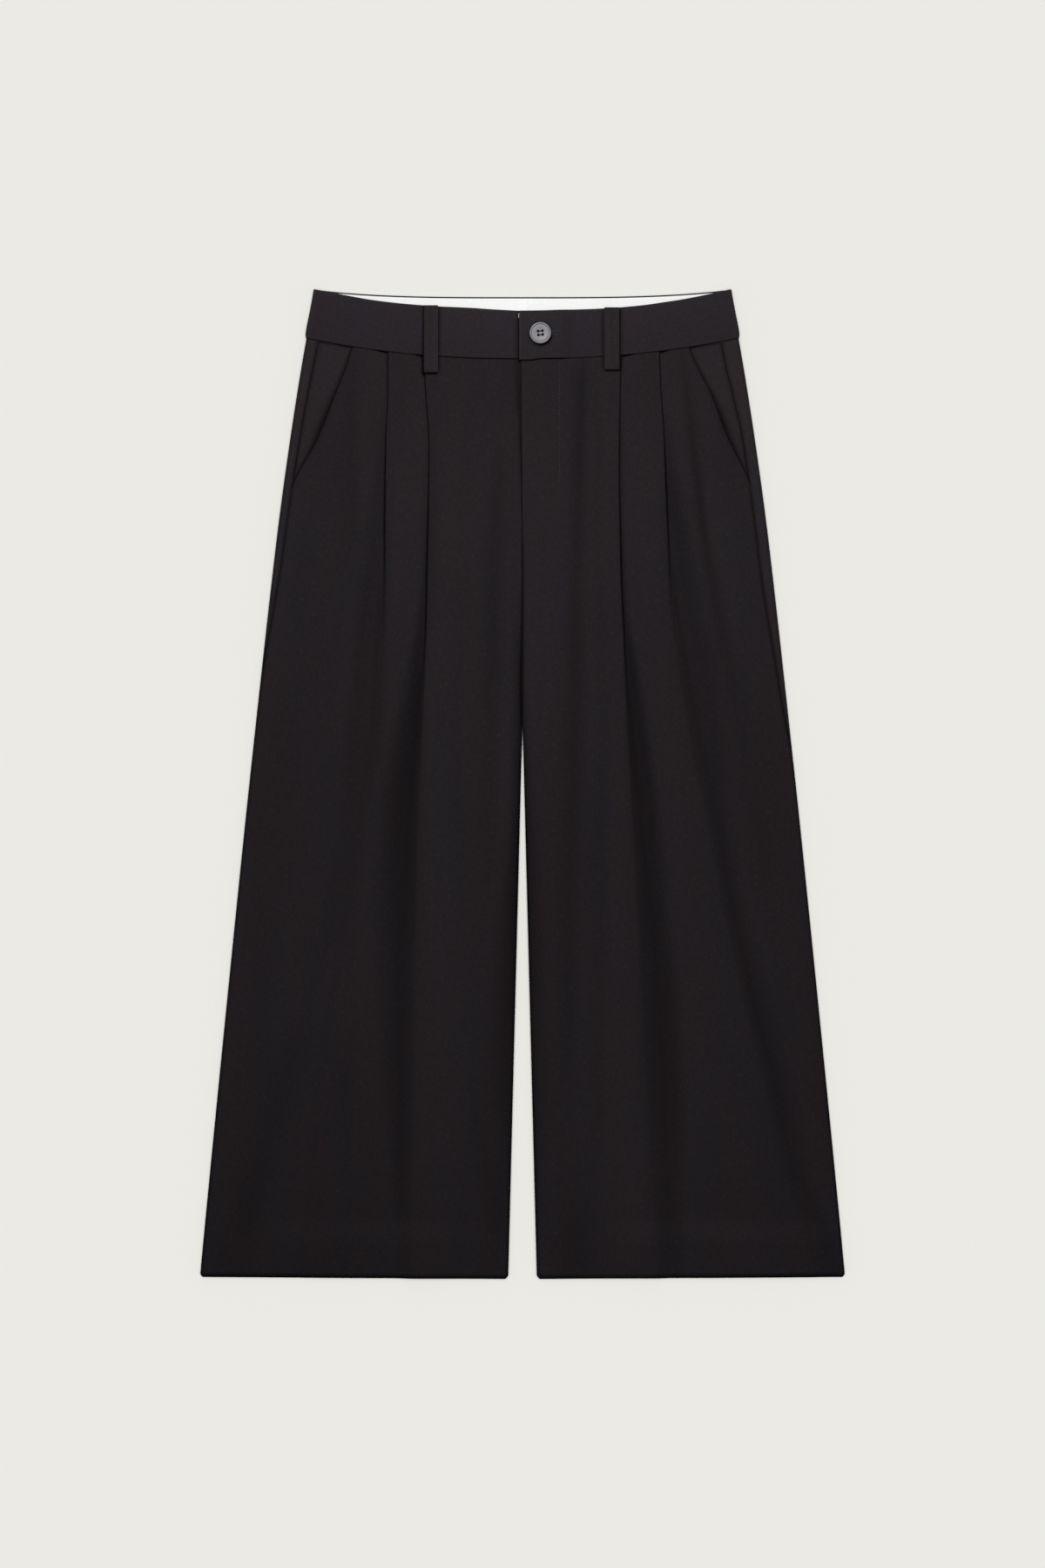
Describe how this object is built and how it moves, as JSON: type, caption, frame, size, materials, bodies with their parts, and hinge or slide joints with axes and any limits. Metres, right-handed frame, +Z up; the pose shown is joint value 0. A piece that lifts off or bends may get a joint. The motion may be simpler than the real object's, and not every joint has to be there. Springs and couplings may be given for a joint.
{
  "type": "culottes",
  "caption": "Wide-leg pleated culottes in dark melange suiting, laid flat front up, with a buttoned waistband, slanted pockets, belt loops and turned-up hems.",
  "frame": {"origin": "centre of the laid-out garment's box, on the surface it lies on", "axes": "+Y from the hems to the waist, +Z up out of the surface through the front, +X to the wearer's left"},
  "size_m": [0.533, 0.818, 0.0104],
  "materials": {
    "suiting": "matte melange twill, near-black with a warm brown cast",
    "facing": "matte white cloth",
    "button": "satin grey, with a raised rim"
  },
  "bodies": {
    "root": {"front_right": "suiting", "front_left": "suiting", "back_right": "suiting", "back_left": "suiting", "pocket_facing_right": "suiting", "pocket_facing_left": "suiting", "waistband_right": "suiting", "waistband_left": "suiting", "waistband_facing_right": "facing", "waistband_facing_left": "facing", "belt_loop_right": "suiting", "belt_loop_left": "suiting", "button": "button"}
  },
  "joints": []
}
